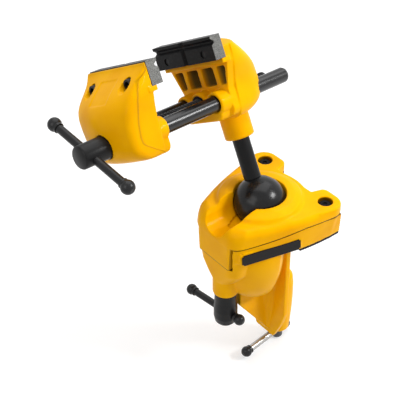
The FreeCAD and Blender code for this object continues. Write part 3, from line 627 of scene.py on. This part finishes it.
def edged(node, name, width):
    """A sharp-cornered part with its edges broken by a narrow round. Faces that lie within 2
    degrees are joined first, and only corners sharper than 30 degrees are rounded."""
    piece = merged_copy(node, name)
    flat = piece.modifiers.new("flat", "DECIMATE")
    flat.decimate_type = "DISSOLVE"
    flat.angle_limit = math.radians(2)
    edge = piece.modifiers.new("edge", "BEVEL")
    edge.width = width
    edge.segments = 2
    edge.limit_method = "ANGLE"
    edge.angle_limit = math.radians(30)
    return apply_modifiers(piece)


# ---------------------------------------------------------------- operators

class VISE_OT_castings(bpy.types.Operator):
    """Paints the four castings and softens their cast edges"""
    bl_idname = "vise.castings"
    bl_label = "Castings"

    def execute(self, context):
        castings = context.scene.vise_castings
        # The base's coat takes dirt along its parting line, and painted shade around the tongue and
        # in the bolt holes. The fixed jaw's coat takes painted shade in its core pockets, and the
        # moving jaw's coat takes painted shade along the step of its shell.
        base_coat = enamel("base_enamel", castings, joint_dirt_and_shade, castings.grime_and_shade)
        fixed_coat = enamel("jaw_enamel", castings, core_shade, castings.core)
        moving_coat = enamel("moving_enamel", castings, shell_step_shade, castings.grime_and_shade)
        on_base, on_jaw = castings.rounding, castings.jaw_rounding
        # The row gives the node, its body, the new name, the passes, the share kept and the coat.
        for node, body, name, passes, keep, coat in (
            ("base_body", "base", "base_casting", on_base, 0.3, base_coat),
            ("socket_cap", "base", "cap_casting", on_base, 0.4, base_coat),
            ("fixed_jaw", "head", "fixed_jaw_casting", on_jaw, 0.4, fixed_coat),
            ("moving_jaw", "moving_head", "moving_jaw_casting", on_jaw, 0.4, moving_coat),
        ):
            piece = softened(node, name, castings.grain, passes, keep)
            finish_piece(piece, body, "yellow_paint", coat, node)
        return {"FINISHED"}


class VISE_OT_screws(bpy.types.Operator):
    """Cuts the threads of the main screw and the clamp screw"""
    bl_idname = "vise.screws"
    bl_label = "Screws"

    def execute(self, context):
        screws = context.scene.vise_screws
        marks, crease = 320.0, 38
        steel = blackened("black_screw", screws.steel, MAIN, marks, rough=0.25, gloss=0.19)
        nose = ((0.0, 0.0), (0.0, 0.0083), (0.0003, 0.0088), (0.0008, 0.0092),
                (0.0014, screws.hub_radius))
        piece = self.screw("main_screw", MAIN_FOOT, MAIN, screws.hub_long, screws.main_radius,
                           screws.main_pitch, nose)
        finish_piece(piece, "main_screw_body", "turned_steel", steel, "main_screw", crease=crease)
        steel = blackened("black_clamp_screw", screws.worn, UP, marks, rough=0.3, gloss=0.5)
        nose = ((0.0, 0.0), (0.0, 0.0036), (0.0008, 0.0048), (0.0018, screws.clamp_radius))
        piece = self.screw("clamp_screw", CLAMP_FOOT, UP, screws.clamp_hub_long,
                           screws.clamp_radius, screws.clamp_pitch, nose)
        finish_piece(piece, "clamp_screw_body", "turned_steel", steel, "clamp_screw", crease=crease)
        return {"FINISHED"}

    def screw(self, node, foot, axis, hub_long, radius, pitch, nose):
        """A hub with a rounded nose, then a threaded shank with a bevelled tip. The nose is given
        as pairs of a distance from the end and a radius."""
        around = 48
        per_pitch = 12
        depth = 0.30 * pitch
        relief, bevel = 0.0004, 0.0012
        low, high = reach(node, axis, foot)
        shoulder = low + hub_long
        hub = [(low + s, r) for s, r in nose]
        hub = np.array(hub + [(shoulder, nose[-1][1]), (shoulder, radius)])
        count = int((high - bevel - shoulder) / pitch * per_pitch)
        run = np.linspace(shoulder + relief, high - bevel, count)
        tip = np.array([(high - relief, radius - depth), (high, radius - 1.5 * depth), (high, 0.0)])
        stations = np.concatenate([hub[:, 0], run, tip[:, 0]])
        angles = np.linspace(0, 2 * math.pi, around, endpoint=False)
        cut = threaded(stations, angles, pitch, depth, shoulder + MM, high - MM)
        base = np.concatenate([hub[:, 1], np.full(count, radius), tip[:, 1]])
        return turned(node + "_cut", stations, base[:, None] - cut, foot, axis, around)


class VISE_OT_plates(bpy.types.Operator):
    """Finishes the jaw plates, the bench pad and the badge plate"""
    bl_idname = "vise.plates"
    bl_label = "Plates, pad and badge"

    def execute(self, context):
        screws, plates = context.scene.vise_screws, context.scene.vise_plates
        for node, body in (("fixed_jaw_plate", "head"), ("moving_jaw_plate", "moving_head")):
            piece = edged(node, node + "_ground", plates.edge)
            steel = plate_steel(node + "_steel", node, plates, screws)
            finish_piece(piece, body, "black_paint", steel, node, crease=12)
        pad = edged("bench_pad", "bench_pad_moulded", plates.edge)
        finish_piece(pad, "base", "pad_rubber", pad_rubber(plates), "bench_pad", crease=25)
        badge = edged("badge_plate", "badge_plate_moulded", plates.badge_edge)
        finish_piece(badge, "base", "badge_black", badge_black(plates), "badge_plate", crease=12)
        return {"FINISHED"}


# The groups of blackened nodes: the axis of their tool marks, how fine the marks are, the
# roughness, the gloss and the nodes.
STEEL_GROUPS = {
    "stem": (STEM, 260.0, 0.26, 0.15, ("stem", "stem_set_screw")),
    "rods": (MAIN, 60.0, 0.17, 0.45, ("near_guide_rod", "far_guide_rod")),
    "fittings": (MAIN, 240.0, 0.34, 0.22, ("rod_pins", "screw_collar", "screw_nut",
                                           "fixed_plate_screws", "moving_plate_screws")),
    "lock": (UP, 260.0, 0.26, 0.18, ("lock_screw", "lock_washer", "clamp_foot")),
    "bolts": (UP, 260.0, 0.5, 0.10, ("cap_bolts",)),
}
# The T-bars: the setting that holds the bar's colour, its roughness and how metallic it is, and
# how fine the tool marks of bars and end balls are.
BARS = {"main": ("worn", 0.22, 0.0), "lock": ("worn", 0.22, 0.0), "clamp": ("bright", 0.30, 0.8)}
BAR_MARKS = 260.0


class VISE_OT_steelwork(bpy.types.Operator):
    """Finishes the ball, the stem, the guide rods, the T-bars and the small fittings"""
    bl_idname = "vise.steelwork"
    bl_label = "Steelwork"

    def execute(self, context):
        screws = context.scene.vise_screws
        nodes = frame["nodes"]
        paint(nodes["ball"], polished_black(screws.steel))
        for name, (axis, scale, rough, gloss, members) in STEEL_GROUPS.items():
            steel = blackened("black_" + name, screws.steel, axis, scale, rough, gloss)
            for member in members:
                paint(nodes[member], steel)
        for handle, (colour, rough, metal) in BARS.items():
            axis = JOINTS[handle + "_handle_slide"]["axis"]
            bar = blackened(handle + "_bar_steel", getattr(screws, colour), axis, BAR_MARKS,
                            rough=rough, gloss=0.2, metal=metal)
            ends = blackened(handle + "_end_steel", screws.worn, axis, BAR_MARKS,
                             rough=0.2, gloss=0.22)
            paint(nodes[handle + "_handle_bar"], bar)
            paint(nodes[handle + "_handle_ends"], ends)
        return {"FINISHED"}


# The lamps: name, place, width and height in metres, and power in watts.
LAMPS = (
    ("key", (0.68, -0.79, 0.80), (0.42, 0.32), 12.0),
    ("fill", (-1.1, -0.1, 0.75), (0.8, 0.8), 4.0),
    ("top", (0.35, 0.30, 1.25), (1.4, 1.4), 12.0),
)
# The lamps face a point a little above the ball.
LAMP_AIM = Vector(BALL) + Vector((0.0, 0.0, 0.04))
# How bright the sky is to look at, and as a light.
SKY_SEEN, SKY_LIGHT = 1.0, 0.42
# How far the floor lies under the part.
FLOOR_GAP = 0.0005
# How brightly the floor glows near the part and far from it, and at what distances.
GLOW_NEAR, GLOW_FAR = (0.46,) * 3, (0.76,) * 3
GLOW_FROM, GLOW_TO = 0.6, 2.4


class VISE_OT_stage(bpy.types.Operator):
    """Lays the floor, hangs the lamps and stands the camera"""
    bl_idname = "vise.stage"
    bl_label = "Stage"

    def execute(self, context):
        stage = context.scene.vise_stage
        self.floor(stage)
        self.world()
        for lamp in LAMPS:
            self.lamp(*lamp)
        self.camera(stage)
        context.scene.view_settings.view_transform = "Standard"
        return {"FINISHED"}

    def floor(self, stage):
        """A flat grid just under the part. It takes light and shadow like any floor, and it also
        glows to the camera and in reflections, so that it looks white and yet throws no more
        light on the part."""
        half, lines = 3.0, 9
        low = CAD_BOX[0][2] - FLOOR_GAP
        steps = np.linspace(-half, half, lines)
        x, y = np.meshgrid(steps, steps)
        points = np.stack([x, y, np.full_like(x, low)], axis=-1).reshape(-1, 3)
        index = np.arange(lines * lines).reshape(lines, lines)
        quads = np.stack([index[:-1, :-1], index[:-1, 1:], index[1:, 1:], index[1:, :-1]], axis=-1)
        mesh = bpy.data.meshes.new("floor")
        mesh.from_pydata(points, [], quads.reshape(-1, 4).tolist())
        floor = new_object("floor", mesh)
        coat = Finish("floor")
        shade = coat.node("BsdfDiffuse", None, {"Color": tuple(stage.floor)})["BSDF"]
        away = coat.node("VectorMath", {"operation": "LENGTH"}, {0: coat.place()})["Value"]
        level = coat.mix(coat.ramp(away, GLOW_FROM, GLOW_TO), GLOW_NEAR, GLOW_FAR)
        glow = coat.node("Emission", None, {"Color": level, "Strength": 1.0})["Emission"]
        path = coat.node("LightPath")
        mirrored = path["Is Glossy Ray"].at_least(path["Is Transmission Ray"])
        seen = path["Is Camera Ray"].at_least(mirrored)
        lit = coat.node("AddShader", None, {0: shade, 1: glow})["Shader"]
        both = coat.node("MixShader", None, {0: seen, 1: shade, 2: lit})["Shader"]
        coat.node("OutputMaterial", None, {"Surface": both})
        paint(floor, coat.material)

    def world(self):
        """White to look at and in reflections, and softer as a light."""
        world = bpy.data.worlds.new("studio")
        bpy.context.scene.world = world
        world.use_nodes = True
        tree = world.node_tree
        tree.nodes.clear()
        path = tree.nodes.new("ShaderNodeLightPath")
        level = tree.nodes.new("ShaderNodeMix")
        sky = tree.nodes.new("ShaderNodeBackground")
        out = tree.nodes.new("ShaderNodeOutputWorld")
        level.inputs["A"].default_value = SKY_SEEN
        level.inputs["B"].default_value = SKY_LIGHT
        sky.inputs["Color"].default_value = (1.0, 1.0, 1.0, 1.0)
        tree.links.new(path.outputs["Is Diffuse Ray"], level.inputs["Factor"])
        tree.links.new(level.outputs["Result"], sky.inputs["Strength"])
        tree.links.new(sky.outputs["Background"], out.inputs["Surface"])

    def lamp(self, name, place, size, power):
        """A soft rectangular lamp that faces the part."""
        light = bpy.data.lights.new(name, "AREA")
        light.shape = "RECTANGLE"
        light.size, light.size_y = size
        light.energy = power
        lamp = new_object(name, light)
        lamp.location = place
        lamp.rotation_euler = (LAMP_AIM - Vector(place)).to_track_quat("-Z", "Y").to_euler()

    def camera(self, stage):
        """The camera, level but for its roll."""
        data = bpy.data.cameras.new("camera")
        data.lens = stage.lens
        data.sensor_width = 36.0
        camera = new_object("camera", data)
        camera.location = stage.place
        view = (Vector(stage.aim) - Vector(stage.place)).to_track_quat("-Z", "Y")
        camera.rotation_mode = "QUATERNION"
        camera.rotation_quaternion = view @ Quaternion((0.0, 0.0, 1.0), stage.roll)
        data.clip_end = 20.0
        bpy.context.scene.camera = camera


class VISE_PT_panel(bpy.types.Panel):
    """Shows the vise's operators and settings in the sidebar"""
    bl_label = "Bench vise"
    bl_idname = "VISE_PT_panel"
    bl_space_type = "VIEW_3D"
    bl_region_type = "UI"
    bl_category = "Vise"

    def draw(self, context):
        layout = self.layout
        for operator in OPERATORS:
            layout.operator(operator.bl_idname)
        for name in GROUPS:
            group = getattr(context.scene, name)
            box = layout.box()
            for key in group.__annotations__:
                box.prop(group, key)


GROUPS = {
    "vise_castings": CastingSettings,
    "vise_screws": ScrewSettings,
    "vise_plates": PlateSettings,
    "vise_stage": StageSettings,
}
OPERATORS = (VISE_OT_castings, VISE_OT_screws, VISE_OT_plates, VISE_OT_steelwork, VISE_OT_stage)


def register():
    """Makes the settings, the operators and the panel known."""
    for group in GROUPS.values():
        bpy.utils.register_class(group)
    for operator in OPERATORS:
        bpy.utils.register_class(operator)
    bpy.utils.register_class(VISE_PT_panel)
    for name, group in GROUPS.items():
        setattr(bpy.types.Scene, name, PointerProperty(type=group))


def unregister():
    """Takes them away again."""
    for name in GROUPS:
        delattr(bpy.types.Scene, name)
    bpy.utils.unregister_class(VISE_PT_panel)
    for operator in reversed(OPERATORS):
        bpy.utils.unregister_class(operator)
    for group in reversed(tuple(GROUPS.values())):
        bpy.utils.unregister_class(group)


def main():
    """Builds every piece and the stage."""
    register()
    bpy.ops.vise.castings()
    bpy.ops.vise.screws()
    bpy.ops.vise.plates()
    bpy.ops.vise.steelwork()
    bpy.ops.vise.stage()


if __name__ == "__main__":
    main()
